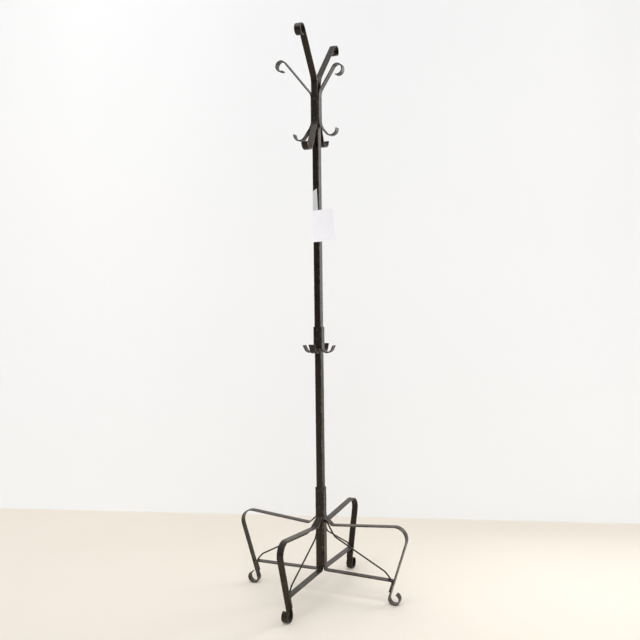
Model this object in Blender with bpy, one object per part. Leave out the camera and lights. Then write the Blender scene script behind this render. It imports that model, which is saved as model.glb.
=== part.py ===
"""A wrought-iron coat stand: a square post on four scrolled legs, with two tiers of hooks.

Metres and degrees. The origin is on the floor under the post's axis, +Z is up, the right leg
runs along +X and the front leg along -Y. Each flat bar is bent in the radial plane of its side
of the post, where r is the distance out from the post's axis and z is the height.
"""

import math

import bmesh
import bpy
from mathutils import Vector

# Sides of the post, as turns about +Z from the right one.
SIDES = {"right": 0, "back": 90, "left": 180, "front": 270}

# Stock that the stand is made from.
GAP = 0.0003
TUBE = 0.022
TUBE_WALL = 0.0015
TUBE_CORNER = 0.0018
BORE_CORNER = 0.0005
CORNER_SEGMENTS = 3
BAR_WIDTH = 0.0215
BAR_THICKNESS = 0.0035
ROD_DIAMETER = 0.0050
ROD_SIDES = 10
ARC_STEP = 12
SMOOTH_ANGLE = 50

# Post, in two lengths that meet behind the middle hooks.
POST_BOTTOM = 0.092
POST_SEAM = 0.846
POST_TOP = 1.612
SPIGOT_LENGTH = 0.120
SPIGOT_WALL = 0.002
CAP_THICKNESS = 0.003
CAP_CHAMFER = 0.001
PLUG_DEPTH = 0.010

# Legs: a tab on the post, a kink, a rising run, a round corner and a slant down to a scroll.
LEG_TOP = 0.3495
LEG_ROOT = 0.260
LEG_ROOT_SLOPE = 43.5
LEG_ROOT_REACH = 0.037
LEG_BEND_RADIUS = 0.0115
LEG_RISE = 5.1
LEG_REACH = 0.2917
LEG_CORNER_RADIUS = 0.0373
LEG_SLANT = 17.6
FOOT_RADIUS = 0.0173
FOOT_FLAT = 12
FOOT_TIP_HEADING = 157

# Lower bars: a tab under the leg's root, a level run and a tab down the leg's inner face.
LOWER_TAB_TOP = 0.240
LOWER_BAR_HEIGHT = 0.0788
LOWER_BAR_DIP = 0.9
LOWER_BEND_RADIUS = 0.0067
LOWER_END_RADIUS = 0.005
LOWER_END_TAB = 0.0295

# Brace rods, from under the leg's root to the corner between lower bar and leg.
BRACE_TOP_R = 0.0179
BRACE_TOP = 0.241
BRACE_TOP_SLOPE = 59.5
BRACE_SLOPE = 27.8
BRACE_END_SLOPE = 49
BRACE_END_R = 0.2371
BRACE_END = 0.0803
BRACE_END_RUN = 0.027
BRACE_BEND_RADIUS = 0.031

# Top arms, each bent by hand: the radius of the bend that leaves the post, where that bend starts,
# its splay from the vertical, the scroll's top, radius and tip heading, then the slope of the
# arm's lower part and the bottom of its lower hook.
ARM_LOWER_BEND = 1.527
ARM_LOWER_RADIUS = 0.045
ARM_HOOK_RADIUS = 0.020
ARM_LIP_HEADING = 78.5
ARM_LIP = 0.0055
ARMS = {
    "right": {
        "bend": 0.045, "leaves": 1.6015, "splay": 33.7, "top": 1.6975, "scroll": 0.0168, "tip": -200,
        "slope": 49.5, "bottom": 1.4745,
    },
    "back": {
        "bend": 0.060, "leaves": 1.634, "splay": 42.2, "top": 1.7995, "scroll": 0.0149, "tip": -202,
        "slope": 70, "bottom": 1.4495,
    },
    "left": {
        "bend": 0.029, "leaves": 1.597, "splay": 39.9, "top": 1.729, "scroll": 0.0166, "tip": -202,
        "slope": 53.5, "bottom": 1.4655,
    },
    "front": {
        "bend": 0.060, "leaves": 1.638, "splay": 32.8, "top": 1.8005, "scroll": 0.0164, "tip": -201,
        "slope": 63.6, "bottom": 1.4248,
    },
}

# Middle hooks, which also splice the two lengths of post.
MID_HOOK_TOP = 0.870
MID_HOOK_BOTTOM = 0.786
MID_HOOK_RADIUS = 0.0176
MID_LIP_HEADING = 63.5
MID_LIPS = {"right": 0.0150, "back": 0.0175, "left": 0.0135, "front": 0.0204}

# Countersunk socket screws, two down each strip on the post.
SCREW_HEIGHTS = {"arm": (1.592, 1.533), "middle_hook": (0.861, 0.831), "leg": (0.341, 0.287)}
SCREW_HEAD = 0.0039
SCREW_SHANK = 0.0018
SCREW_LAND = 0.0003
SCREW_SUNK = 0.0002
SCREW_LENGTH = 0.0105
SCREW_POINT = 0.0008
SCREW_POINT_RADIUS = 0.0011
SCREW_SIDES = 12
SOCKET_RADIUS = 0.0015
SOCKET_DEPTH = 0.0012
DRILL_PAST_FACE = 0.002
DRILL_PAST_END = 0.001

# Blank paper tag, held by a strip stuck to the front of the post. Pairs are at the top and the
# bottom: the strip widens downwards, and the tag untwists until it hangs flat to the post.
PAPER = 0.0005
PAPER_CELLS = 8
STRIP_WIDTHS = (0.0148, 0.0190)
STRIP_TURNS = (0, 0)
STRIP_BOTTOM = 1.228
STRIP_TOP = 1.302
STRIP_SLANTS = (0.0095, 0)
STRIP_LIFT = 0.00055
TAG_WIDTHS = (0.078, 0.078)
TAG_TURNS = (14, 1)
TAG_BOTTOM = 1.141
TAG_TOP = 1.241
TAG_SLANTS = (0.002, 0.0035)
TAG_LIFT = 0.00135

# Finishes as linear colour, roughness and metallic.
FINISHES = {
    "black_iron": ((0.030, 0.025, 0.022), 0.42, 0.35),
    "dark_screw": ((0.020, 0.018, 0.017), 0.38, 0.60),
    "raw_steel": ((0.250, 0.245, 0.240), 0.40, 1.00),
    "black_plastic": ((0.012, 0.012, 0.012), 0.50, 0.00),
    "white_paper": ((0.800, 0.800, 0.780), 0.85, 0.00),
}

TAB_R = TUBE / 2 + GAP + BAR_THICKNESS / 2
TAB_FACE = TAB_R + BAR_THICKNESS / 2


# ---------------------------------------------------------------- bent routes

def unit(heading):
    return Vector((math.cos(math.radians(heading)), math.sin(math.radians(heading))))


def left_of(way):
    return Vector((-way.y, way.x))


class Route:
    """A centreline in the radial plane, walked with a heading measured from level outwards."""

    def __init__(self, r, z, heading):
        self.points = [Vector((r, z))]
        self.heading = heading

    def forward(self, length):
        self.points.append(self.points[-1] + unit(self.heading) * length)

    def forward_to_r(self, r):
        self.forward((r - self.points[-1].x) / unit(self.heading).x)

    def forward_to_z(self, z):
        self.forward((z - self.points[-1].y) / unit(self.heading).y)

    def turn_to(self, heading, radius):
        """An arc to a new heading, in equal chords of at most ARC_STEP degrees."""
        turn = heading - self.heading
        side = math.copysign(radius, turn)
        centre = self.points[-1] + side * left_of(unit(self.heading))
        count = math.ceil(abs(turn) / ARC_STEP - 1e-6)
        for index in range(1, count + 1):
            way = unit(self.heading + turn * index / count)
            self.points.append(centre - side * left_of(way))
        self.heading = heading

    def turn_onto(self, point, heading, radius):
        """Straight on, then an arc that ends on the line through a point with a new heading."""
        side = math.copysign(radius, heading - self.heading)
        way = unit(self.heading)
        across = left_of(unit(heading))
        missing = side - (self.points[-1] + side * left_of(way) - point).dot(across)
        self.forward(missing / way.dot(across))
        self.turn_to(heading, radius)


def leg_route():
    """The leg's route from the tab on the post to the tip of its scroll, and a point on the slant."""
    flat = FOOT_FLAT / 2
    foot_height = (FOOT_RADIUS + BAR_THICKNESS / 2) * math.cos(math.radians(flat))
    route = Route(TAB_R, LEG_TOP, -90)
    route.forward_to_z(LEG_ROOT)
    route.turn_to(-LEG_ROOT_SLOPE, LEG_BEND_RADIUS)
    route.forward_to_r(LEG_ROOT_REACH)
    route.turn_to(LEG_RISE, LEG_BEND_RADIUS)
    route.forward_to_r(LEG_REACH - LEG_CORNER_RADIUS * (1 + math.sin(math.radians(LEG_RISE))))
    route.turn_to(-90 - LEG_SLANT, LEG_CORNER_RADIUS)
    on_slant = route.points[-1]
    route.forward_to_z(foot_height + FOOT_RADIUS * math.sin(math.radians(LEG_SLANT)))
    route.turn_to(-flat, FOOT_RADIUS)
    route.turn_to(flat, FOOT_RADIUS)
    route.turn_to(FOOT_TIP_HEADING, FOOT_RADIUS)
    return route.points, on_slant


def lower_bar_route(on_slant):
    slant = -90 - LEG_SLANT
    inner_line = on_slant - left_of(unit(slant)) * (BAR_THICKNESS + GAP)
    route = Route(TAB_R, LOWER_TAB_TOP, -90)
    route.forward_to_z(LOWER_BAR_HEIGHT + LOWER_BEND_RADIUS)
    route.turn_to(-LOWER_BAR_DIP, LOWER_BEND_RADIUS)
    route.turn_onto(inner_line, slant, LOWER_END_RADIUS)
    route.forward(LOWER_END_TAB)
    return route.points


def brace_route():
    """Steep at both ends, so it is walked in from each end to where the two meet."""
    end = Vector((BRACE_END_R, BRACE_END))
    before_end = end - unit(-BRACE_END_SLOPE) * BRACE_END_RUN
    route = Route(BRACE_TOP_R, BRACE_TOP, -BRACE_TOP_SLOPE)
    route.turn_onto(before_end, -BRACE_SLOPE, BRACE_BEND_RADIUS)
    route.turn_onto(end, -BRACE_END_SLOPE, BRACE_BEND_RADIUS)
    route.forward_to_z(BRACE_END)
    return route.points


def arm_route(bend, leaves, splay, top, scroll, tip, slope, bottom):
    """From the lip of the lower hook, up the post, to the tip of the upper scroll."""
    half = BAR_THICKNESS / 2
    hook_drop = ARM_HOOK_RADIUS * (1 - math.cos(math.radians(slope)))
    lower = Route(TAB_R, ARM_LOWER_BEND, -90)
    lower.turn_to(-slope, ARM_LOWER_RADIUS)
    lower.forward_to_z(bottom + half + hook_drop)
    lower.turn_to(ARM_LIP_HEADING, ARM_HOOK_RADIUS)
    lower.forward(ARM_LIP)
    scroll_rise = scroll * (1 - math.sin(math.radians(splay)))
    upper = Route(TAB_R, leaves, 90)
    upper.turn_to(90 - splay, bend)
    upper.forward_to_z(top - half - scroll_rise)
    upper.turn_to(tip, scroll)
    return lower.points[::-1] + upper.points


def middle_hook_route(lip):
    route = Route(TAB_R, MID_HOOK_TOP, -90)
    route.forward_to_z(MID_HOOK_BOTTOM + BAR_THICKNESS / 2 + MID_HOOK_RADIUS)
    route.turn_to(MID_LIP_HEADING, MID_HOOK_RADIUS)
    route.forward(lip)
    return route.points


# ---------------------------------------------------------------- meshes

def loft(name, loops, closed=False):
    """A mesh through loops of equal length, capped at both ends or closed into a ring."""
    mesh = bpy.data.meshes.new(name)
    bm = bmesh.new()
    rings = [[bm.verts.new(point) for point in loop] for loop in loops]
    pairs = list(zip(rings, rings[1:]))
    if closed:
        pairs.append((rings[-1], rings[0]))
    else:
        bm.faces.new(rings[0])
        bm.faces.new(rings[-1])
    for first, second in pairs:
        for index in range(len(first)):
            bm.faces.new((first[index - 1], first[index], second[index], second[index - 1]))
    bmesh.ops.recalc_face_normals(bm, faces=bm.faces)
    bm.to_mesh(mesh)
    bm.free()
    return mesh


def sweep(name, points, section):
    """A mesh of one section along a route, mitred at its bends. A section is (across, outward)."""
    ways = [(after - before).normalized() for before, after in zip(points, points[1:])]
    loops = []
    for point, before, after in zip(points, [ways[0]] + ways, ways + [ways[-1]]):
        middle = (before + after).normalized()
        normal = left_of(middle) / middle.dot(before)
        places = [(point + normal * outward, across) for across, outward in section]
        loops.append([(place.x, across, place.y) for place, across in places])
    return loft(name, loops)


def flat_bar(name, points):
    wide, thick = BAR_WIDTH / 2, BAR_THICKNESS / 2
    return sweep(name, points, [(-wide, -thick), (wide, -thick), (wide, thick), (-wide, thick)])


def round_rod(name, points):
    turns = [2 * math.pi * index / ROD_SIDES for index in range(ROD_SIDES)]
    radius = ROD_DIAMETER / 2
    mesh = sweep(name, points, [(radius * math.cos(a), radius * math.sin(a)) for a in turns])
    mesh.shade_smooth()
    mesh.set_sharp_from_angle(angle=math.radians(SMOOTH_ANGLE))
    return mesh


def rounded_square(side, radius, z):
    loop = []
    for corner in range(4):
        turn = math.pi / 2 * corner
        middle = (side / 2 - radius) * math.sqrt(2)
        x = middle * math.cos(turn + math.pi / 4)
        y = middle * math.sin(turn + math.pi / 4)
        for index in range(CORNER_SEGMENTS + 1):
            angle = turn + math.pi / 2 * index / CORNER_SEGMENTS
            loop.append((x + radius * math.cos(angle), y + radius * math.sin(angle), z))
    return loop


def square_tube(name, side, wall, corner, bottom, top):
    bore = side - 2 * wall
    loops = [
        rounded_square(side, corner, bottom),
        rounded_square(side, corner, top),
        rounded_square(bore, BORE_CORNER, top),
        rounded_square(bore, BORE_CORNER, bottom),
    ]
    return loft(name, loops, closed=True)


def end_plug(name, end, outward):
    """A cap over a tube's end, with a plug into its bore. Outward is +1 for up, -1 for down."""
    bore = TUBE - 2 * TUBE_WALL - 2 * GAP
    face = end + outward * GAP
    crown = face + outward * CAP_THICKNESS
    loops = [
        rounded_square(bore, BORE_CORNER, end - outward * PLUG_DEPTH),
        rounded_square(bore, BORE_CORNER, face),
        rounded_square(TUBE, TUBE_CORNER, face),
        rounded_square(TUBE, TUBE_CORNER, crown - outward * CAP_CHAMFER),
        rounded_square(TUBE - 2 * CAP_CHAMFER, TUBE_CORNER, crown),
    ]
    return loft(name, loops)


def turned(name, profile, height):
    """Circles along -X at a height. The profile is (x, radius, flats), where flats make a hexagon."""
    loops = []
    for x, radius, flats in profile:
        loop = []
        for index in range(SCREW_SIDES):
            angle = 2 * math.pi * index / SCREW_SIDES
            reach = radius * math.cos(math.pi / 6) if flats and index % 2 else radius
            loop.append((x, reach * math.cos(angle), height + reach * math.sin(angle)))
        loops.append(loop)
    return loft(name, loops)


def screw(name, height):
    face = TAB_FACE - SCREW_SUNK
    shoulder = face - SCREW_LAND - (SCREW_HEAD - SCREW_SHANK)
    end = TAB_FACE - SCREW_LENGTH
    profile = [
        (face - SOCKET_DEPTH, SOCKET_RADIUS, True),
        (face, SOCKET_RADIUS, True),
        (face, SCREW_HEAD, False),
        (face - SCREW_LAND, SCREW_HEAD, False),
        (shoulder, SCREW_SHANK, False),
        (end + SCREW_POINT, SCREW_SHANK, False),
        (end, SCREW_POINT_RADIUS, False),
    ]
    return turned(name, profile, height)


def screw_hole(name, height):
    """The space of a screw with its clearance, open past the face and past the screw's end."""
    face = TAB_FACE - SCREW_SUNK
    shoulder = face - SCREW_LAND - (SCREW_HEAD - SCREW_SHANK)
    profile = [
        (TAB_FACE + DRILL_PAST_FACE, SCREW_HEAD + GAP, False),
        (face - SCREW_LAND - GAP, SCREW_HEAD + GAP, False),
        (shoulder - GAP, SCREW_SHANK + GAP, False),
        (TAB_FACE - SCREW_LENGTH - DRILL_PAST_END, SCREW_SHANK + GAP, False),
    ]
    return turned(name, profile, height)


def paper_sheet(name, widths, turns, slants, bottom, top, lift):
    """A thin sheet before the post's front face, from its left edge, as a grid for Solidify."""
    mesh = bpy.data.meshes.new(name)
    bm = bmesh.new()
    rows = []
    for row in range(PAPER_CELLS + 1):
        down = row / PAPER_CELLS
        width = widths[0] + (widths[1] - widths[0]) * down
        turn = math.radians(turns[0] + (turns[1] - turns[0]) * down)
        line = []
        for column in range(PAPER_CELLS + 1):
            along = width * column / PAPER_CELLS
            upper = top + slants[0] * column / PAPER_CELLS
            lower = bottom + slants[1] * column / PAPER_CELLS
            x = along * math.cos(turn) - TUBE / 2
            y = -along * math.sin(turn) - TUBE / 2 - lift
            line.append(bm.verts.new((x, y, upper + (lower - upper) * down)))
        rows.append(line)
    for above, below in zip(rows, rows[1:]):
        for index in range(PAPER_CELLS):
            bm.faces.new((above[index], below[index], below[index + 1], above[index + 1]))
    bm.to_mesh(mesh)
    bm.free()
    return mesh


# ---------------------------------------------------------------- objects

def clear_scene():
    for obj in list(bpy.data.objects):
        bpy.data.objects.remove(obj, do_unlink=True)


def finish_material(name):
    colour, roughness, metallic = FINISHES[name]
    material = bpy.data.materials.new(name)
    material.use_nodes = True
    shader = material.node_tree.nodes["Principled BSDF"]
    shader.inputs["Base Color"].default_value = (*colour, 1)
    shader.inputs["Roughness"].default_value = roughness
    shader.inputs["Metallic"].default_value = metallic
    return material


def add_empty(name, turn=0.0, parent=None):
    empty = bpy.data.objects.new(name, None)
    bpy.context.scene.collection.objects.link(empty)
    empty.parent = parent
    empty.rotation_euler.z = math.radians(turn)
    return empty


def add(mesh, finish, parent):
    """A named object for one physical piece, with a material of its own."""
    obj = bpy.data.objects.new(mesh.name, mesh)
    bpy.context.scene.collection.objects.link(obj)
    obj.parent = parent
    material = finish_material(finish)
    material.name = mesh.name + "_" + finish
    mesh.materials.append(material)
    return obj


def add_cutter(mesh, parent):
    obj = bpy.data.objects.new(mesh.name, mesh)
    bpy.context.scene.collection.objects.link(obj)
    obj.parent = parent
    obj.hide_render = True
    obj.display_type = "WIRE"
    return obj


def drill(obj, cutters):
    for cutter in cutters:
        hole = obj.modifiers.new(cutter.name, "BOOLEAN")
        hole.operation = "DIFFERENCE"
        hole.solver = "EXACT"
        hole.object = cutter


def build_screws(side, parent):
    """The screws of one side, and the clearance holes that each strip's two screws need."""
    holes = {}
    for strip, heights in SCREW_HEIGHTS.items():
        holes[strip] = []
        for place, height in zip(("upper", "lower"), heights):
            name = f"{strip}_screw_{side}_{place}"
            add(screw(name, height), "dark_screw", parent)
            holes[strip].append(add_cutter(screw_hole(name + "_hole", height), parent))
    return holes


def build_side(side, parent, holes):
    """The leg frame, the middle hook and the top arm of one side of the post."""
    leg_points, on_slant = leg_route()
    leg = add(flat_bar(f"leg_{side}", leg_points), "black_iron", parent)
    hook_points = middle_hook_route(MID_LIPS[side])
    hook = add(flat_bar(f"middle_hook_{side}", hook_points), "black_iron", parent)
    arm = add(flat_bar(f"arm_{side}", arm_route(**ARMS[side])), "black_iron", parent)
    add(flat_bar(f"lower_bar_{side}", lower_bar_route(on_slant)), "black_iron", parent)
    add(round_rod(f"brace_{side}", brace_route()), "black_iron", parent)
    for obj, strip in ((leg, "leg"), (hook, "middle_hook"), (arm, "arm")):
        drill(obj, holes[strip])


def build_post(parent, holes):
    lower_top, upper_bottom = POST_SEAM - GAP / 2, POST_SEAM + GAP / 2
    bore = TUBE - 2 * TUBE_WALL
    half = SPIGOT_LENGTH / 2
    lower = square_tube("post_lower", TUBE, TUBE_WALL, TUBE_CORNER, POST_BOTTOM, lower_top)
    upper = square_tube("post_upper", TUBE, TUBE_WALL, TUBE_CORNER, upper_bottom, POST_TOP)
    spigot = square_tube(
        "post_spigot", bore - 2 * GAP, SPIGOT_WALL, BORE_CORNER, POST_SEAM - half, POST_SEAM + half
    )
    lower_post = add(lower, "black_iron", parent)
    upper_post = add(upper, "black_iron", parent)
    joiner = add(spigot, "raw_steel", parent)
    add(end_plug("post_top_cap", POST_TOP, 1), "black_plastic", parent)
    add(end_plug("post_bottom_plug", POST_BOTTOM, -1), "black_plastic", parent)
    for side_holes in holes.values():
        above, below = side_holes["middle_hook"]
        drill(upper_post, side_holes["arm"] + [above])
        drill(lower_post, side_holes["leg"] + [below])
        drill(joiner, [above, below])


def build_tag(parent):
    strip = paper_sheet(
        "tag_strip", STRIP_WIDTHS, STRIP_TURNS, STRIP_SLANTS, STRIP_BOTTOM, STRIP_TOP, STRIP_LIFT
    )
    tag = paper_sheet(
        "paper_tag", TAG_WIDTHS, TAG_TURNS, TAG_SLANTS, TAG_BOTTOM, TAG_TOP, TAG_LIFT
    )
    for mesh in (strip, tag):
        solid = add(mesh, "white_paper", parent).modifiers.new("paper", "SOLIDIFY")
        solid.thickness = PAPER
        solid.offset = 0


def main():
    clear_scene()
    stand = add_empty("coat_stand")
    holes = {}
    for side, turn in SIDES.items():
        parent = add_empty(f"{side}_side", turn, stand)
        holes[side] = build_screws(side, parent)
        build_side(side, parent, holes[side])
    build_post(stand, holes)
    build_tag(stand)


main()
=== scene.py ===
"""The looks of a wrought-iron coat stand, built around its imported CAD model.

Metres. A bent bar lies in the radial plane of its side of the post: its route is a list of
complex numbers, r + z * 1j, where r is the distance out from the post's axis. Directions along a
route are complex numbers of length 1, so that multiplying by 1j turns them a quarter.
"""

import cmath
import math

import bmesh
import bpy
from mathutils import Matrix, Vector, noise

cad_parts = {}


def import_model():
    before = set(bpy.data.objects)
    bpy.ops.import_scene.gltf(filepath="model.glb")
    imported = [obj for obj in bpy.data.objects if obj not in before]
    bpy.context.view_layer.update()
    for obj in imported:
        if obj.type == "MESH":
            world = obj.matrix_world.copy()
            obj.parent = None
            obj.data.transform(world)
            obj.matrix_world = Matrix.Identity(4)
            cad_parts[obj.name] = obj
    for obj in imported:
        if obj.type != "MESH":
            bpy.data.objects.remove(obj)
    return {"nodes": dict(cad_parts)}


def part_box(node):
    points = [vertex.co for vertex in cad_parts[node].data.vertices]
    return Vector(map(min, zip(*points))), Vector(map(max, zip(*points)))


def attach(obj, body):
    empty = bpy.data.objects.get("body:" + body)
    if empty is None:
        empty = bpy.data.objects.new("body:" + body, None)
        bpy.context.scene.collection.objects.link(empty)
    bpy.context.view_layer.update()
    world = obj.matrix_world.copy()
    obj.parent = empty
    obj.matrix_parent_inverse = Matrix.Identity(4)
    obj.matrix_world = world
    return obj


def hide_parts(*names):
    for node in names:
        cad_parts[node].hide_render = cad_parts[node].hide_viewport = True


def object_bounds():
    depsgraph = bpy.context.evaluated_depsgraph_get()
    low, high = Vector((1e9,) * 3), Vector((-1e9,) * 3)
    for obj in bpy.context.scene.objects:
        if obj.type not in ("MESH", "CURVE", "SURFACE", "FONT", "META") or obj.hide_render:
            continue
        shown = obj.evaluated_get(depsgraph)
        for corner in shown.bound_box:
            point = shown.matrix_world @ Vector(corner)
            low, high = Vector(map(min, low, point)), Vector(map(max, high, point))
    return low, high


# Sides of the post, as turns about +Z from the right one, and the strips screwed to each.
SIDES = {"right": 0, "back": 90, "left": 180, "front": 270}
STRIPS = ("arm", "middle_hook", "leg")

# Bars and rods: their rounded edges, the band that an edge's wear and painted highlight spread
# over, and their bends.
EDGE_RADIUS = 0.0007
EDGE_STEPS = 3
EDGE_BAND = 0.0014
END_BEVEL = 0.0005
ARC_POINTS = 4
ROD_SIDES = 20

# Reading a route from a CAD mesh: its decimals, what counts as level with the side face, as an
# end's square corner, as a facet of a bend, and how alike a bend's facets are.
ROUTE_DECIMALS = 6
SAME = 1e-5
SHARP_TURN = math.radians(60)
LEAST_BEND = math.radians(5)
UNEVEN = 0.02

# Screws.
SCREW_SIDES = 36
SCREW_RIM = 0.00025
SCREW_CREASE = 28
SOCKET_APOTHEM = 0.00125
SOCKET_CORNER = 1.1
SOCKET_MOUTH = 1.25
SOCKET_FLOOR = 0.25
SOCKET_DEPTH = 0.0013
SHANK_RADIUS = 0.0018
COUNTERBORE_GAP = 0.00022

# Post.
TUBE_WALL = 0.0015
TUBE_CORNER = 0.0020
TUBE_LIP = 0.0003
BORE_CORNER = 0.0005
CORNER_STEPS = 6

# Plugs: a body with ribs in the bore, then a cover. Its profile is (narrower by, height).
PLUG_SLACK = 0.0006
PLUG_CORNER = 0.0006
PLUG_NOSE = 0.001
PLUG_CREASE = 50
RIB_SHARES = (0.12, 0.38, 0.64)
RIB_DEPTH = 0.00015
RIB_REACH = 0.0007
COVER_HEIGHT = 0.003
COVER_PROFILE = (
    (0.0004, 0.0), (0.0, 0.0003), (0.0, 0.0015), (0.0008, 0.0023), (0.0030, 0.0028)
)
COVER_CROWN = 0.0080

# Welds: a bead's cross-section, its steps and tapered ends in steps, and its ripples.
BEAD_SIDES = 10
BEAD_STEP = 0.35
BEAD_END = 3
BEAD_LEAST = 0.03
BEAD_RIPPLE = 0.10
BEAD_RIPPLE_TURN = 2.1
BEAD_ROUGH = 0.22
BEAD_ROUGH_SCALE = 420
BEAD_CREASE = 80
WELD_RADIUS = 0.0013
WELD_FOOT_RADIUS = 0.0015
WELD_REACH = 0.0026
WELD_LIFT = 0.0004
WELD_TOP_HALF = 0.0085
WELD_FOOT_HALF = 0.0088

# The beads round a brace's two ends, as (along, lift) down one side of the rod to its middle.
BRACE_TOP_WELD = ((-0.0075, 0.0004), (-0.0010, 0.0004), (0.0012, 0.0006))
BRACE_FOOT_WELD = ((-0.0080, 0.0006), (-0.0005, 0.0006), (0.0022, 0.0008))

# Paper, and the slow wave across it.
SHEET_ROWS = 16
SHEET_SHARE = 0.4
SHEET_CREASE = 40
SHEET_WAVES = (1.6, 1.9)
SHEET_SEED = 900
STRIP_WAVE = 0.0005
TAG_WAVE = 0.0016

# Camera, fitted to the stand: distance and height from the foot of the post, then its turns.
CAMERA_DISTANCE = 2.5727
CAMERA_HEIGHT = 1.0068
CAMERA_AZIMUTH = math.radians(24.66)
CAMERA_YAW = math.radians(-0.088)
CAMERA_PITCH = math.radians(-2.562)
CAMERA_ROLL = math.radians(-0.679)
CAMERA_LENS = 45.02
SENSOR_WIDTH = 36.0

# Finishes: linear colours, and the part of a noise's range that a pattern is spread over.
MIDDLE = (0.3, 0.7)
IRON_DARK = (0.0052, 0.0032, 0.0018)
IRON_BROWN = (0.0125, 0.0074, 0.0040)
# Bare iron for worn edges and chips, also lightening the edges as a painted highlight.
WORN_IRON_AND_EDGE_HIGHLIGHT = (0.130, 0.108, 0.086)
DUST = (0.30, 0.26, 0.21)
IRON_ROUGHNESS = 0.27
WELD_ROUGHNESS = 0.23
IRON_IOR = 1.42
IRON_TINT = (1.0, 0.88, 0.76, 1)
TAG_PALE = (0.935, 0.93, 0.975)
TAG_SHADE = (0.895, 0.89, 0.94)
TAG_ROUGHNESS = 0.75
STRIP_PALE = (0.60, 0.605, 0.61)
STRIP_SHADE = (0.54, 0.545, 0.55)
STRIP_ROUGHNESS = 0.6
FLOOR_PALE = (0.92, 0.84, 0.735)
FLOOR_SHADE = (0.885, 0.805, 0.70)
SCREW_DARK = (0.020, 0.019, 0.018, 1)
SCREW_PALE = (0.06, 0.056, 0.05, 1)
PLASTIC_DARK = (0.010, 0.010, 0.010, 1)
PLASTIC_PALE = (0.018, 0.017, 0.016, 1)
STEEL_DARK = (0.28, 0.27, 0.25, 1)
STEEL_PALE = (0.42, 0.41, 0.39, 1)

# The wall's paint, with painted shade up to WALL_FADE, more painted shade over WALL_RISE and
# painted light away from its middle.
WALL_PALE = (0.885, 0.888, 0.897)
WALL_SHADE = (0.855, 0.856, 0.856)
WALL_FADE = 1.6
WALL_HIGH_PAINTED_SHADE = (0.805, 0.808, 0.815)
WALL_RISE = (1.05, 2.15)
WALL_SIDES_PAINTED_LIGHT = (0.915, 0.915, 0.92)
WALL_MIDDLE = -0.36
WALL_SPREAD = (0.25, 1.0)

# Stage: the wall's line on the floor. Suns are name, direction, width in degrees, strength and
# colour. Soft boxes are name, place, aim, size and power.
WALL_POINT = Vector((-0.43, 0.765, 0))
WALL_HEADING = math.radians(17.5)
WALL_HEIGHT = 5.0
STAGE_REACH = 9.0
LIGHTS = (
    ("key", (0.55, -0.78, 0.30), 50, 0.95, (0.965, 0.98, 1.0)),
    ("fill", (0.05, -0.85, 0.50), 60, 0.82, (0.955, 0.975, 1.0)),
)
SOFTBOXES = (
    ("overhead", (-0.25, -0.85, 3.3), (-0.1, -0.3, 0.0), (1.5, 1.5), 19.5),
    ("strip", (0.80, 1.02, 1.45), (1.10, 0.066, 1.45), (0.60, 1.6), 13.0),
)
SOFTBOX_COLOUR = (0.965, 0.98, 1.0)
BACKDROP_STRENGTH = 0.82
WORLD_COLOUR = (0.96, 0.98, 1.0)
SKY_STRENGTH = 0.50
SKY_SPAN = (0.25, 0.60)
WORLD_STRENGTH = 0.05

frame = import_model()
cad_low, cad_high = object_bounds()


# ---------------------------------------------------------------- small helpers

def radial(point, turn):
    """A world point as (r, across, z) in the plane of one side of the post."""
    turned = Matrix.Rotation(-math.radians(turn), 3, "Z") @ Vector(point)
    return turned.x, turned.y, turned.z


def world(r, across, z, turn):
    """The world point of a place in the plane of one side of the post."""
    return Matrix.Rotation(math.radians(turn), 3, "Z") @ Vector((r, across, z))


def new_mesh(name, rings, edge_values=None, closed=False):
    """A mesh through rings of equal length. Edge values go to an attribute that drives wear and a
    painted edge highlight.
    """
    mesh = bpy.data.meshes.new(name)
    bm = bmesh.new()
    rows = [[bm.verts.new(point) for point in ring] for ring in rings]
    pairs = list(zip(rows, rows[1:]))
    if closed:
        pairs.append((rows[-1], rows[0]))
    else:
        bm.faces.new(rows[0])
        bm.faces.new(rows[-1])
    for first, second in pairs:
        for index in range(len(first)):
            bm.faces.new((first[index - 1], first[index], second[index], second[index - 1]))
    bmesh.ops.recalc_face_normals(bm, faces=bm.faces)
    bm.to_mesh(mesh)
    bm.free()
    if edge_values:
        attribute = mesh.attributes.new("edge", "FLOAT", "POINT")
        flat = [value for ring in edge_values for value in ring]
        attribute.data.foreach_set("value", flat)
    return mesh


def piece(mesh, material, replaces=(), smooth=35):
    """A visible piece of the stand that rides on its one body."""
    obj = bpy.data.objects.new(mesh.name, mesh)
    bpy.context.scene.collection.objects.link(obj)
    mesh.materials.append(material)
    mesh.shade_smooth()
    mesh.set_sharp_from_angle(angle=math.radians(smooth))
    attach(obj, "root")
    if replaces:
        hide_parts(*replaces)
    return obj


# ---------------------------------------------------------------- routes of the CAD bars

def walked(links):
    """The points of a chain or ring of links, in order."""
    ends = [point for point, near in links.items() if len(near) == 1]
    path = [min(ends) if ends else min(links)]
    before = None
    while True:
        onward = [point for point in links[path[-1]] if point != before]
        if not onward or onward[0] == path[0]:
            return [complex(*point) for point in path]
        before = path[-1]
        path.append(onward[0])


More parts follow.
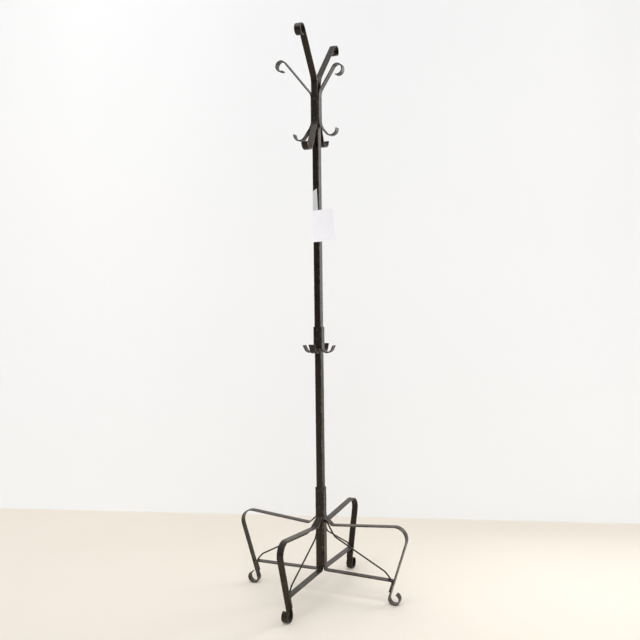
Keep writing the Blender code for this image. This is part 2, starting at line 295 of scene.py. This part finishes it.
def edge_links(node, turn, rim_only):
    """Links between the CAD points of a node that lie furthest across, on its side face's rim."""
    mesh = frame["nodes"][node].data
    points = [radial(vertex.co, turn) for vertex in mesh.vertices]
    furthest = max(across for _, across, _ in points)
    keys = {
        index: (round(r, ROUTE_DECIMALS), round(z, ROUTE_DECIMALS))
        for index, (r, across, z) in enumerate(points)
        if across > furthest - SAME
    }
    seen = {}
    for polygon in mesh.polygons:
        whole = all(index in keys for index in polygon.vertices)
        for first, second in polygon.edge_keys:
            if first in keys and second in keys and (whole or not rim_only):
                pair = frozenset((keys[first], keys[second]))
                seen[pair] = seen.get(pair, 0) + 1
    links = {}
    for pair, count in seen.items():
        if len(pair) == 2 and (count == 1 or not rim_only):
            first, second = pair
            links.setdefault(first, []).append(second)
            links.setdefault(second, []).append(first)
    return links


def turn_at(before, point, after):
    """How far a route turns at a point."""
    return cmath.phase((after - point) / (point - before))


def bar_route(node, turn):
    """The centreline of a flat CAD bar, and its thickness, from the outline of its side face."""
    ring = walked(edge_links(node, turn, True))
    count = len(ring)
    corners = [
        index
        for index in range(count)
        if abs(turn_at(ring[index - 1], ring[index], ring[(index + 1) % count])) > SHARP_TURN
    ]
    first = next(index for index in corners if (index + 1) % count in corners)
    ring = ring[first:] + ring[:first]
    last = max((index - first) % count for index in corners) - 1
    one, other = ring[1: last + 1], [ring[0]] + ring[:last:-1]
    if len(one) != len(other):
        raise ValueError(f"{node}: its two faces have {len(one)} and {len(other)} points")
    return [(a + b) / 2 for a, b in zip(one, other)], abs(one[0] - other[0])


def rod_route(node, turn):
    """The centreline of a round CAD rod, whose points furthest across lie in its plane."""
    return walked(edge_links(node, turn, False))


def rounded(route):
    """The route with each chord of its bends replaced by points on the arc it stands for."""
    count = len(route)

    def on_bend(index):
        if not 0 < index < count - 1:
            return False
        before, point, after = route[index - 1: index + 2]
        even = abs(abs(after - point) / abs(point - before) - 1) < UNEVEN
        return even and abs(turn_at(before, point, after)) > LEAST_BEND

    fine = [route[0]]
    for index in range(count - 1):
        start, end = route[index], route[index + 1]
        chord = end - start
        if on_bend(index):
            half = turn_at(route[index - 1], start, end) / 2
        elif on_bend(index + 1):
            half = turn_at(start, end, route[index + 2]) / 2
        else:
            half = 0.0
        if half:
            tangent = chord / abs(chord) * cmath.exp(-1j * half)
            for step in range(1, ARC_POINTS):
                angle = half * step / ARC_POINTS
                reach = abs(chord) * math.sin(angle) / math.sin(half)
                fine.append(start + tangent * cmath.exp(1j * angle) * reach)
        fine.append(end)
    return fine


# ---------------------------------------------------------------- swept pieces

def bar_section(width, thickness):
    """(across, outward, edge) round a bar with rounded edges. Edge is 1 on its rounded corners."""
    wide, thick = width / 2 - EDGE_RADIUS, thickness / 2 - EDGE_RADIUS
    corners = ((wide, thick), (-wide, thick), (-wide, -thick), (wide, -thick))
    section = []
    for quarter, (x, y) in enumerate(corners):
        arc = []
        for step in range(EDGE_STEPS + 1):
            angle = math.pi / 2 * (quarter + step / EDGE_STEPS)
            across, outward = EDGE_RADIUS * math.cos(angle), EDGE_RADIUS * math.sin(angle)
            arc.append((x + across, y + outward, 1.0))
        band = (x - math.copysign(EDGE_BAND, x), math.copysign(thickness / 2, y), 0.0)
        section += [band] + arc if quarter % 2 else arc + [band]
    return section


def swept(route, section, turn, bevel):
    """Rings and edge values of a section along a route, with its two ends bevelled."""
    def inset(share):
        reach_across = max(abs(across) for across, _, _ in section)
        reach_out = max(abs(outward) for _, outward, _ in section)
        return [
            (across * (1 - share / reach_across), outward * (1 - share / reach_out), 1.0)
            for across, outward, _ in section
        ]

    start = (route[1] - route[0]) / abs(route[1] - route[0])
    end = (route[-1] - route[-2]) / abs(route[-1] - route[-2])
    stations = [(route[0], start, inset(bevel)), (route[0] + start * bevel, start, section)]
    for before, point, after in zip(route, route[1:], route[2:]):
        one, other = (point - before) / abs(point - before), (after - point) / abs(after - point)
        stations.append((point, (one + other) / abs(one + other), section))
    stations += [(route[-1] - end * bevel, end, section), (route[-1], end, inset(bevel))]
    rings, values = [], []
    for point, way, shape in stations:
        ring = []
        for across, outward, _ in shape:
            place = point + way * 1j * outward
            ring.append(world(place.real, across, place.imag, turn))
        rings.append(ring)
        values.append([edge for _, _, edge in shape])
    return rings, values


def build_bar(node, turn, screws):
    """A flat bar with rounded edges along its CAD route, drilled for its screws."""
    route, thickness = bar_route(node, turn)
    low, high = (radial(corner, turn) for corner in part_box(node))
    width = abs(high[1] - low[1])
    rings, values = swept(rounded(route), bar_section(width, thickness), turn, END_BEVEL)
    bar = piece(new_mesh(f"{node}_bar", rings, values), iron, [node])
    for screw in screws:
        drill(bar, screw, turn)


def build_rod(node, turn):
    """A round brace rod along its CAD route."""
    route = rounded(rod_route(node, turn))
    low, high = (radial(corner, turn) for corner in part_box(node))
    radius = abs(high[1] - low[1]) / 2
    angles = [2 * math.pi * index / ROD_SIDES for index in range(ROD_SIDES)]
    section = [(radius * math.cos(a), radius * math.sin(a), 0.0) for a in angles]
    rings, values = swept(route, section, turn, END_BEVEL)
    piece(new_mesh(f"{node}_rod", rings, values), iron, [node])


# ---------------------------------------------------------------- screws

def turned_rings(profile, centre, turn):
    """Rings round a side's radial line. The profile is (r, radius, hexagon share)."""
    rings = []
    for r, radius, hexagon in profile:
        ring = []
        for index in range(SCREW_SIDES):
            angle = 2 * math.pi * index / SCREW_SIDES
            flat = math.cos(math.pi / 6) / math.cos(angle % (math.pi / 3) - math.pi / 6)
            reach = radius * (1 + hexagon * (flat - 1))
            place = (r, reach * math.cos(angle), centre + reach * math.sin(angle))
            ring.append(world(*place, turn))
        rings.append(ring)
    return rings


def screw_place(node, turn):
    """Where a CAD screw is: its face, its end, the height of its axis and its head's radius."""
    low, high = (radial(corner, turn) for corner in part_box(node))
    reach = sorted((low[0], high[0]))
    return reach[1], reach[0], (low[2] + high[2]) / 2, abs(high[2] - low[2]) / 2


def drill(bar, screw, turn):
    """Cuts a screw's countersunk hole through a bar."""
    face, end, height, head = screw_place(screw, turn)
    head += COUNTERBORE_GAP
    profile = [
        (face + EDGE_RADIUS * 2, head, 0),
        (face - EDGE_RADIUS / 2, head, 0),
        (face - head + SHANK_RADIUS, SHANK_RADIUS + COUNTERBORE_GAP, 0),
        (end, SHANK_RADIUS + COUNTERBORE_GAP, 0),
    ]
    mesh = new_mesh("cutter", turned_rings(profile, height, turn))
    cutter = bpy.data.objects.new("cutter", mesh)
    bpy.context.scene.collection.objects.link(cutter)
    hole = bar.modifiers.new("hole", "BOOLEAN")
    hole.operation, hole.solver, hole.object = "DIFFERENCE", "EXACT", cutter
    graph = bpy.context.evaluated_depsgraph_get()
    cut = bpy.data.meshes.new_from_object(bar.evaluated_get(graph))
    bar.modifiers.remove(hole)
    bpy.data.objects.remove(cutter)
    cut.name = bar.data.name
    bar.data = cut


def build_screw(node, turn):
    """A countersunk screw with a hexagonal socket, from its socket's floor round to its end."""
    face, end, height, head = screw_place(node, turn)
    rim = SCREW_RIM
    profile = [
        (face - SOCKET_DEPTH - rim, SOCKET_APOTHEM * SOCKET_FLOOR, 0),
        (face - SOCKET_DEPTH, SOCKET_APOTHEM * SOCKET_CORNER, 1),
        (face - rim / 2, SOCKET_APOTHEM * SOCKET_CORNER, 1),
        (face, SOCKET_APOTHEM * SOCKET_MOUTH, 1),
        (face, head - rim * 1.6, 0),
        (face - rim / 3, head - rim / 2, 0),
        (face - rim, head, 0),
        (face - rim * 2, head, 0),
        (face - rim * 2 - head + SHANK_RADIUS, SHANK_RADIUS, 0),
        (end + rim, SHANK_RADIUS, 0),
        (end, SHANK_RADIUS - rim, 0),
    ]
    mesh = new_mesh(f"{node}_head", turned_rings(profile, height, turn))
    piece(mesh, screw_steel, [node], smooth=SCREW_CREASE)


# ---------------------------------------------------------------- post

def rounded_square(side, radius, z):
    """A square with round corners, each followed by two points where its edge's wear and painted
    highlight end.
    """
    loop = []
    for corner in range(4):
        turn = math.pi / 2 * corner
        reach = (side / 2 - radius) * math.sqrt(2)
        x, y = reach * math.cos(turn + math.pi / 4), reach * math.sin(turn + math.pi / 4)
        for step in range(CORNER_STEPS + 1):
            angle = turn + math.pi / 2 * step / CORNER_STEPS
            loop.append(Vector((x + radius * math.cos(angle), y + radius * math.sin(angle), z)))
        along = Vector((math.cos(turn + math.pi), math.sin(turn + math.pi), 0))
        last = loop[-1]
        loop.append(last + along * EDGE_BAND)
        loop.append(last + along * (side - 2 * radius - EDGE_BAND))
    return loop


def square_edges(rings):
    return [([1.0] * (CORNER_STEPS + 1) + [0.0, 0.0]) * 4 for _ in rings]


def build_tube(node):
    """A length of square tube, open at both ends, with its cut rims eased."""
    low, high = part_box(node)
    side = high.x - low.x
    lip = TUBE_LIP
    bore = side - 2 * TUBE_WALL
    rings = [
        rounded_square(side - 2 * lip, TUBE_CORNER - lip, low.z),
        rounded_square(side, TUBE_CORNER, low.z + lip),
        rounded_square(side, TUBE_CORNER, high.z - lip),
        rounded_square(side - 2 * lip, TUBE_CORNER - lip, high.z),
        rounded_square(bore, BORE_CORNER, high.z),
        rounded_square(bore, BORE_CORNER, low.z),
    ]
    mesh = new_mesh(f"{node}_tube", rings, square_edges(rings), closed=True)
    piece(mesh, iron, [node])


def build_plug(node, outward):
    """The cap over an end of the tube: a crowned cover over a plug with snap ribs."""
    low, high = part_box(node)
    side = high.x - low.x
    foot, crown = (low.z, high.z) if outward > 0 else (high.z, low.z)
    cover = crown - outward * COVER_HEIGHT
    bore = side - 2 * TUBE_WALL - PLUG_SLACK
    waist = bore - RIB_DEPTH * 2
    rings = [rounded_square(bore - PLUG_NOSE, PLUG_CORNER, foot)]
    for share in RIB_SHARES:
        start = foot + (cover - foot) * share
        rings.append(rounded_square(waist, PLUG_CORNER, start))
        rings.append(rounded_square(bore, PLUG_CORNER, start + outward * RIB_REACH))
        rings.append(rounded_square(waist, PLUG_CORNER, start + outward * RIB_REACH * 2))
    rings.append(rounded_square(waist, PLUG_CORNER, cover))
    for narrower, height in COVER_PROFILE:
        rings.append(rounded_square(side - narrower, TUBE_CORNER, cover + outward * height))
    rings.append(rounded_square(side - COVER_CROWN, TUBE_CORNER, crown))
    mesh = new_mesh(f"{node}_cap", rings)
    piece(mesh, plastic, [node], smooth=PLUG_CREASE)


# ---------------------------------------------------------------- welds

def bead(name, points, radius, seed):
    """A weld bead along world points, with the ripples of its pool and an uneven edge."""
    fine = []
    for start, end in zip(points, points[1:]):
        count = max(2, round((end - start).length / (radius * BEAD_STEP)))
        fine += [start.lerp(end, step / count) for step in range(count)]
    fine.append(points[-1])
    rings = []
    for index, point in enumerate(fine):
        way = fine[min(index + 1, len(fine) - 1)] - fine[max(index - 1, 0)]
        turn = way.to_track_quat("Z", "Y")
        left = min(index, len(fine) - 1 - index) / BEAD_END
        taper = math.sqrt(max(BEAD_LEAST, 1 - max(0, 1 - left) ** 2))
        rough = noise.noise(point * BEAD_ROUGH_SCALE + Vector((seed, 0, 0)))
        ripple = 1 + BEAD_RIPPLE * math.sin(index * BEAD_RIPPLE_TURN) + BEAD_ROUGH * rough
        reach = radius * taper * ripple
        ring = []
        for side in range(BEAD_SIDES):
            angle = 2 * math.pi * side / BEAD_SIDES
            spoke = Vector((reach * math.cos(angle), reach * math.sin(angle), 0))
            ring.append(point + turn @ spoke)
        rings.append(ring)
    mesh = new_mesh(name, rings, [[0.0] * BEAD_SIDES for _ in rings])
    piece(mesh, weld_iron, smooth=BEAD_CREASE)


def round_end(half):
    """(along, across, lift) round a rod's end, from (along, lift) down one side to the middle."""
    *side, (middle, crown) = half
    near = [(along, -WELD_REACH, lift) for along, lift in side]
    far = [(along, WELD_REACH, lift) for along, lift in reversed(side)]
    return [*near, (middle, 0, crown), *far]


def build_welds(side, turn):
    """Beads round both ends of the brace, along the top of the lower bar's tab on the post and
    along the end of its tab on the leg."""
    rod = rod_route(f"brace_{side}", turn)
    lower, thickness = bar_route(f"lower_bar_{side}", turn)
    lower = lower if lower[0].imag > lower[-1].imag else lower[::-1]
    rod = rod if rod[0].imag > rod[-1].imag else rod[::-1]
    half_bar = thickness / 2
    top, foot = rod[0], rod[-1]
    tab_face = lower[0].real + half_bar
    upper_bead = [
        (tab_face + lift, across, top.imag + along)
        for along, across, lift in round_end(BRACE_TOP_WELD)
    ]
    bar_face = lower_surface(lower, foot.real) + half_bar
    foot_bead = [
        (foot.real + along, across, bar_face + lift)
        for along, across, lift in round_end(BRACE_FOOT_WELD)
    ]
    head = lower[0] + complex(-WELD_LIFT, WELD_LIFT)
    tab_bead = [(head.real, across, head.imag) for across in (-WELD_TOP_HALF, WELD_TOP_HALF)]
    way = (lower[-1] - lower[-2]) / abs(lower[-1] - lower[-2])
    end = lower[-1] + way * WELD_LIFT + way * 1j * half_bar * 0.5
    end_bead = [(end.real, across, end.imag) for across in (-WELD_FOOT_HALF, WELD_FOOT_HALF)]
    beads = (
        ("brace_top", upper_bead, WELD_RADIUS),
        ("brace_foot", foot_bead, WELD_RADIUS),
        ("tab_top", tab_bead, WELD_RADIUS),
        ("tab_foot", end_bead, WELD_FOOT_RADIUS),
    )
    for index, (name, places, radius) in enumerate(beads):
        points = [world(*place, turn) for place in places]
        bead(f"weld_{name}_{side}", points, radius, turn + index)


def lower_surface(route, r):
    """The height of a route's long level run at a distance from the post."""
    start, end = max(zip(route, route[1:]), key=lambda pair: (pair[1] - pair[0]).real)
    return start.imag + (end - start).imag * (r - start.real) / (end - start).real


# ---------------------------------------------------------------- paper

def build_sheet(node, wave_depth, material):
    """A CAD sheet of paper made finer between its four corners, with a slight outward wave."""
    points = [vertex.co for vertex in frame["nodes"][node].data.vertices]

    def corner(right, up):
        aim = Vector((right, 0.0, up))
        near = sorted(points, key=lambda point: point.dot(aim))[-2:]
        return (near[0] + near[1]) / 2, (near[0] - near[1]).length / 2

    (top_left, half), (top_right, _) = corner(-1, 1), corner(1, 1)
    (low_left, _), (low_right, _) = corner(-1, -1), corner(1, -1)
    out = (top_right - top_left).cross(low_left - top_left).normalized()
    out = out if out.y < 0 else -out
    rings = []
    for row in range(SHEET_ROWS + 1):
        down = row / SHEET_ROWS
        left, right = top_left.lerp(low_left, down), top_right.lerp(low_right, down)
        front, back = [], []
        for column in range(SHEET_ROWS + 1):
            share = column / SHEET_ROWS
            place = left.lerp(right, share)
            spot = (share * SHEET_WAVES[0], down * SHEET_WAVES[1], wave_depth * SHEET_SEED)
            wave = 0.5 + 0.5 * noise.noise(Vector(spot))
            place = place + out * wave_depth * wave * share
            front.append(place + out * half * SHEET_SHARE)
            back.append(place - out * half * SHEET_SHARE)
        rings.append(front + back[::-1])
    mesh = new_mesh(f"{node}_sheet", rings)
    piece(mesh, material, [node], smooth=SHEET_CREASE)


# ---------------------------------------------------------------- materials

class Look:
    """A node material under construction, with its principled shader."""

    def __init__(self, name, **sockets):
        self.material = bpy.data.materials.new(name)
        self.material.use_nodes = True
        self.tree = self.material.node_tree
        self.shader = self.tree.nodes["Principled BSDF"]
        for socket, value in sockets.items():
            self.shader.inputs[socket.replace("_", " ")].default_value = value
        self.place = self.add("ShaderNodeTexCoord").outputs["Object"]

    def add(self, kind, **sockets):
        node = self.tree.nodes.new(kind)
        self.feed(node, sockets)
        return node

    def fill(self, entry, value):
        """Links a socket's value to an input, or sets it there if it is a plain one."""
        if isinstance(value, bpy.types.NodeSocket):
            self.tree.links.new(value, entry)
        else:
            entry.default_value = value

    def feed(self, node, sockets):
        for socket, value in sockets.items():
            self.fill(node.inputs[socket.replace("_", " ")], value)

    def noise(self, scale, detail, rough, stretch=None):
        """A noise over the object's own place, with scale in features to the metre."""
        place = self.place
        if stretch:
            mapping = self.add("ShaderNodeMapping", Vector=place)
            mapping.inputs["Scale"].default_value = stretch
            place = mapping.outputs["Vector"]
        node = self.add(
            "ShaderNodeTexNoise", Vector=place, Scale=scale, Detail=detail, Roughness=rough
        )
        return node.outputs["Fac"]

    def span(self, value, start, end, low=0.0, high=1.0):
        """A value taken from one range to another, held at both ends."""
        node = self.add("ShaderNodeMapRange", Value=value)
        for name, number in (
            ("From Min", start), ("From Max", end), ("To Min", low), ("To Max", high)
        ):
            node.inputs[name].default_value = number
        return node.outputs["Result"]

    def maths(self, operation, first, second=0.0):
        node = self.tree.nodes.new("ShaderNodeMath")
        node.operation = operation
        for entry, value in zip(node.inputs, (first, second)):
            self.fill(entry, value)
        return node.outputs["Value"]

    def mix(self, factor, first, second):
        node = self.tree.nodes.new("ShaderNodeMix")
        node.data_type = "RGBA"
        colours = [entry for entry in node.inputs if entry.type == "RGBA"]
        for entry, value in zip([node.inputs[0], *colours], (factor, first, second)):
            self.fill(entry, value)
        return next(out for out in node.outputs if out.type == "RGBA")

    def bump(self, *layers):
        """Bumps of (height, strength, distance in metres), one on another."""
        normal = None
        for height, strength, distance in layers:
            node = self.add(
                "ShaderNodeBump", Height=height, Strength=strength, Distance=distance
            )
            if normal:
                self.feed(node, {"Normal": normal})
            normal = node.outputs["Normal"]
        self.feed(self.shader, {"Normal": normal})

    def facing_up(self):
        """1 on faces that look up, where dust settles, and 0 on steep ones."""
        geometry = self.add("ShaderNodeNewGeometry")
        parts = self.add("ShaderNodeSeparateXYZ", Vector=geometry.outputs["Normal"])
        return self.span(parts.outputs["Z"], 0.55, 0.95)


def iron_look(name, roughness, uneven):
    """Satin paint over forged iron: mottled, rubbed bare and lighter along its edges as wear and a
    painted highlight, dusty on top.
    """
    look = Look(name, IOR=IRON_IOR, Specular_Tint=IRON_TINT)
    patches = look.noise(22, 4, 0.6)
    fine = look.noise(260, 5, 0.65)
    grain = look.noise(1100, 2, 0.5)
    paint = look.mix(look.span(patches, 0.35, 0.7), (*IRON_DARK, 1), (*IRON_BROWN, 1))
    edge = look.add("ShaderNodeAttribute")
    edge.attribute_name = "edge"
    # Edges rubbed bare, made lighter than wear alone as a painted highlight.
    rubbed_and_edge_highlight = look.maths(
        "MULTIPLY",
        look.span(edge.outputs["Fac"], 0.55, 1.0),
        look.span(look.noise(75, 6, 0.7), 0.46, 0.64),
    )
    chips = look.span(look.noise(140, 6, 0.75), 0.735, 0.76)
    worn_and_edge_highlight = look.maths("MAXIMUM", look.maths("MULTIPLY", rubbed_and_edge_highlight, 0.9), chips)
    dust = look.maths("MULTIPLY", look.facing_up(), look.span(fine, 0.35, 0.75, 0.02, 0.12))
    colour = look.mix(look.span(fine, 0.3, 0.8, 0.0, 0.35), paint, (*IRON_BROWN, 1))
    # Worn edges and chips, with the painted edge highlight.
    colour = look.mix(worn_and_edge_highlight, colour, (*WORN_IRON_AND_EDGE_HIGHLIGHT, 1))
    colour = look.mix(dust, colour, (*DUST, 1))
    satin = look.span(look.noise(48, 4, 0.6), *MIDDLE, roughness - 0.06, roughness + 0.08)
    satin = look.maths("ADD", satin, look.span(grain, *MIDDLE, -0.03, 0.04))
    satin = look.maths("SUBTRACT", satin, look.maths("MULTIPLY", rubbed_and_edge_highlight, 0.08))
    satin = look.maths("ADD", satin, dust)
    look.feed(look.shader, {"Base Color": colour, "Roughness": satin})
    look.bump(
        (look.noise(90, 3, 0.5), 0.35 * uneven, 0.0006),
        (fine, 0.30 * uneven, 0.00022),
        (grain, 0.22, 0.00006),
    )
    return look.material


def screw_look():
    """Blackened steel."""
    look = Look("screw_blackened", Metallic=0.55, IOR=1.6)
    fine = look.noise(700, 4, 0.6)
    colour = look.mix(look.span(fine, 0.4, 0.75), SCREW_DARK, SCREW_PALE)
    satin = look.span(fine, *MIDDLE, 0.30, 0.44)
    look.feed(look.shader, {"Base Color": colour, "Roughness": satin})
    look.bump((fine, 0.25, 0.00005))
    return look.material


def plastic_look():
    """Grained moulded plastic, a little dusty on top."""
    look = Look("plug_plastic", IOR=1.5)
    grain = look.noise(1500, 2, 0.5)
    smear = look.noise(60, 3, 0.6)
    colour = look.mix(look.span(smear, *MIDDLE), PLASTIC_DARK, PLASTIC_PALE)
    dust = look.maths("MULTIPLY", look.facing_up(), look.span(smear, 0.4, 0.7, 0.02, 0.10))
    colour = look.mix(dust, colour, (*DUST, 1))
    satin = look.span(smear, *MIDDLE, 0.42, 0.55)
    look.feed(look.shader, {"Base Color": colour, "Roughness": satin})
    look.bump((grain, 0.35, 0.00008))
    return look.material


def steel_look():
    """Drawn steel, with fine lines along its length."""
    look = Look("spigot_steel", Metallic=1.0)
    lines = look.noise(900, 4, 0.6, (1, 1, 0.02))
    patches = look.noise(40, 4, 0.6)
    colour = look.mix(look.span(patches, *MIDDLE), STEEL_DARK, STEEL_PALE)
    satin = look.span(lines, *MIDDLE, 0.32, 0.5)
    look.feed(look.shader, {"Base Color": colour, "Roughness": satin})
    look.bump((lines, 0.3, 0.00004))
    return look.material


def paper_look(name, pale, shade, roughness):
    """Uncoated paper: felted fibres, with faint clouds in its thickness."""
    look = Look(name, IOR=1.45)
    fibres = look.noise(1400, 5, 0.7, (1, 1, 0.35))
    clouds = look.noise(45, 4, 0.6)
    colour = look.mix(look.span(clouds, 0.3, 0.75), (*pale, 1), (*shade, 1))
    colour = look.mix(look.span(fibres, 0.35, 0.7, 0.0, 0.25), colour, (*shade, 1))
    matt = look.span(fibres, *MIDDLE, roughness - 0.05, roughness + 0.05)
    look.feed(look.shader, {"Base Color": colour, "Roughness": matt})
    look.bump((clouds, 0.2, 0.0006), (fibres, 0.25, 0.00006))
    return look.material


def floor_look():
    """Pale floor paint with faint clouds and a fine grain."""
    look = Look("studio_floor")
    clouds = look.noise(1.1, 3, 0.5)
    grain = look.noise(160, 3, 0.6)
    colour = look.mix(look.span(clouds, *MIDDLE), (*FLOOR_PALE, 1), (*FLOOR_SHADE, 1))
    colour = look.mix(look.span(grain, 0.3, 0.75, 0.0, 0.22), colour, (*FLOOR_SHADE, 1))
    matt = look.span(grain, *MIDDLE, 0.6, 0.75)
    look.feed(look.shader, {"Base Color": colour, "Roughness": matt})
    return look.material


def wall_look():
    """A painted wall with painted shade low down and over its upper middle and painted light
    towards its sides, that shows from its front only, so that it doesn't hide the stand's back.
    """
    look = Look("studio_wall", Roughness=0.9)
    clouds = look.noise(0.9, 3, 0.5)
    parts = look.add("ShaderNodeSeparateXYZ", Vector=look.place)
    # Painted shade: darker towards the floor, up to WALL_FADE.
    low = look.span(parts.outputs["Z"], 0.0, WALL_FADE, 0.8, 0.0)
    shade = look.maths("ADD", low, look.span(clouds, *MIDDLE, 0.0, 0.2))
    colour = look.mix(shade, (*WALL_PALE, 1), (*WALL_SHADE, 1))
    # Painted shade: darker over WALL_RISE, high on the wall.
    high = look.span(parts.outputs["Z"], *WALL_RISE)
    colour = look.mix(high, colour, (*WALL_HIGH_PAINTED_SHADE, 1))
    # Painted light: paler away from the wall's middle, less so low down.
    away = look.maths("ABSOLUTE", look.maths("SUBTRACT", parts.outputs["X"], WALL_MIDDLE))
    sides_painted_light = look.maths(
        "MULTIPLY", look.span(away, *WALL_SPREAD), look.maths("SUBTRACT", 1.0, low)
    )
    colour = look.mix(sides_painted_light, colour, (*WALL_SIDES_PAINTED_LIGHT, 1))
    look.feed(look.shader, {"Base Color": colour})
    clear = look.add("ShaderNodeBsdfTransparent")
    geometry = look.add("ShaderNodeNewGeometry")
    both = look.tree.nodes.new("ShaderNodeMixShader")
    look.tree.links.new(geometry.outputs["Backfacing"], both.inputs[0])
    look.tree.links.new(look.shader.outputs[0], both.inputs[1])
    look.tree.links.new(clear.outputs[0], both.inputs[2])
    look.tree.links.new(both.outputs[0], look.tree.nodes["Material Output"].inputs["Surface"])
    return look.material


iron = iron_look("iron_paint", IRON_ROUGHNESS, 1.0)
weld_iron = iron_look("weld_paint", WELD_ROUGHNESS, 2.0)
screw_steel = screw_look()
plastic = plastic_look()
strip_paper = paper_look("strip_paper", STRIP_PALE, STRIP_SHADE, STRIP_ROUGHNESS)
tag_paper = paper_look("tag_paper", TAG_PALE, TAG_SHADE, TAG_ROUGHNESS)


# ---------------------------------------------------------------- the stand

for side, turn in SIDES.items():
    for strip in STRIPS:
        screws = [f"{strip}_screw_{side}_{end}" for end in ("upper", "lower")]
        build_bar(f"{strip}_{side}", turn, screws)
        for screw in screws:
            build_screw(screw, turn)
    build_bar(f"lower_bar_{side}", turn, [])
    build_rod(f"brace_{side}", turn)
    build_welds(side, turn)

build_tube("post_lower")
build_tube("post_upper")
build_plug("post_top_cap", 1)
build_plug("post_bottom_plug", -1)
build_sheet("tag_strip", STRIP_WAVE, strip_paper)
build_sheet("paper_tag", TAG_WAVE, tag_paper)

# The spigot's CAD shape stays, in a steel of its own.
steel = steel_look()
for material_slot in frame["nodes"]["post_spigot"].material_slots:
    material_slot.material = steel


# ---------------------------------------------------------------- floor, wall, light and camera

def quad(name, corners, material):
    """A flat piece of the stage."""
    mesh = bpy.data.meshes.new(name)
    mesh.from_pydata(corners, [], [(0, 1, 2, 3)])
    mesh.materials.append(material)
    obj = bpy.data.objects.new(name, mesh)
    bpy.context.scene.collection.objects.link(obj)


def add_sun(name, aim_from, width, strength, colour):
    """A wide sun that shines from a direction."""
    light = bpy.data.lights.new(name, "SUN")
    light.angle, light.energy, light.color = math.radians(width), strength, colour
    obj = bpy.data.objects.new(name, light)
    obj.rotation_mode = "QUATERNION"
    obj.rotation_quaternion = Vector(aim_from).to_track_quat("Z", "Y")
    bpy.context.scene.collection.objects.link(obj)


def add_softbox(name, place, aim, size, power):
    """A soft light, out of the camera's sight."""
    light = bpy.data.lights.new(name, "AREA")
    light.shape, light.energy = "RECTANGLE", power
    light.size, light.size_y = size
    light.color = SOFTBOX_COLOUR
    obj = bpy.data.objects.new(name, light)
    obj.location = place
    obj.rotation_mode = "QUATERNION"
    obj.rotation_quaternion = (Vector(place) - Vector(aim)).to_track_quat("Z", "Y")
    obj.visible_camera = False
    bpy.context.scene.collection.objects.link(obj)


def add_camera():
    """The camera, turned a little to the side, downwards and over from facing the post."""
    place = Vector((
        CAMERA_DISTANCE * math.sin(CAMERA_AZIMUTH),
        -CAMERA_DISTANCE * math.cos(CAMERA_AZIMUTH),
        CAMERA_HEIGHT,
    ))
    heading = CAMERA_AZIMUTH + CAMERA_YAW
    ahead = Vector((
        -math.sin(heading) * math.cos(CAMERA_PITCH),
        math.cos(heading) * math.cos(CAMERA_PITCH),
        math.sin(CAMERA_PITCH),
    ))
    right = Vector((math.cos(heading), math.sin(heading), 0))
    up = right.cross(ahead)
    tilt_cos, tilt_sin = math.cos(CAMERA_ROLL), math.sin(CAMERA_ROLL)
    axes = (right * tilt_cos + up * tilt_sin, up * tilt_cos - right * tilt_sin, -ahead, place)
    data = bpy.data.cameras.new("camera")
    data.lens, data.sensor_width = CAMERA_LENS, SENSOR_WIDTH
    camera = bpy.data.objects.new("camera", data)
    bpy.context.scene.collection.objects.link(camera)
    camera.matrix_world = Matrix(
        [[*(axis[row] for axis in axes)] for row in range(3)] + [[0, 0, 0, 1]]
    )
    bpy.context.scene.camera = camera


def add_stage():
    """The wall and the floor, level with the stand's feet."""
    base = cad_low.z
    along = Vector((math.cos(WALL_HEADING), math.sin(WALL_HEADING), 0))
    left_end = WALL_POINT + Vector((0, 0, base)) - along * STAGE_REACH
    right_end = WALL_POINT + Vector((0, 0, base)) + along * STAGE_REACH
    rise = Vector((0, 0, WALL_HEIGHT))
    quad("wall", [left_end, right_end, right_end + rise, left_end + rise], wall_look())
    square = ((-1, -1), (1, -1), (1, 1), (-1, 1))
    quad("floor", [(x * STAGE_REACH, y * STAGE_REACH, base) for x, y in square], floor_look())


def add_world():
    """Lights softly from above and is dark to the sides, as a deep room is. It is seen as pale."""
    world_look = bpy.data.worlds.new("studio")
    world_look.use_nodes = True
    tree = world_look.node_tree
    room = tree.nodes["Background"]
    pale = tree.nodes.new("ShaderNodeBackground")
    for node, strength in ((room, 1.0), (pale, BACKDROP_STRENGTH)):
        node.inputs["Color"].default_value = (*WORLD_COLOUR, 1)
        node.inputs["Strength"].default_value = strength
    way = tree.nodes.new("ShaderNodeTexCoord")
    parts = tree.nodes.new("ShaderNodeSeparateXYZ")
    height = tree.nodes.new("ShaderNodeMapRange")
    for name, number in (
        ("From Min", SKY_SPAN[0]),
        ("From Max", SKY_SPAN[1]),
        ("To Min", WORLD_STRENGTH),
        ("To Max", SKY_STRENGTH),
    ):
        height.inputs[name].default_value = number
    tree.links.new(way.outputs["Generated"], parts.inputs[0])
    tree.links.new(parts.outputs["Z"], height.inputs["Value"])
    tree.links.new(height.outputs["Result"], room.inputs["Strength"])
    both = tree.nodes.new("ShaderNodeMixShader")
    ray = tree.nodes.new("ShaderNodeLightPath")
    tree.links.new(ray.outputs["Is Camera Ray"], both.inputs[0])
    tree.links.new(room.outputs[0], both.inputs[1])
    tree.links.new(pale.outputs[0], both.inputs[2])
    tree.links.new(both.outputs[0], tree.nodes["World Output"].inputs["Surface"])
    bpy.context.scene.world = world_look


add_stage()
for light in LIGHTS:
    add_sun(*light)
for box in SOFTBOXES:
    add_softbox(*box)
add_world()
add_camera()
bpy.context.scene.view_settings.view_transform = "Standard"
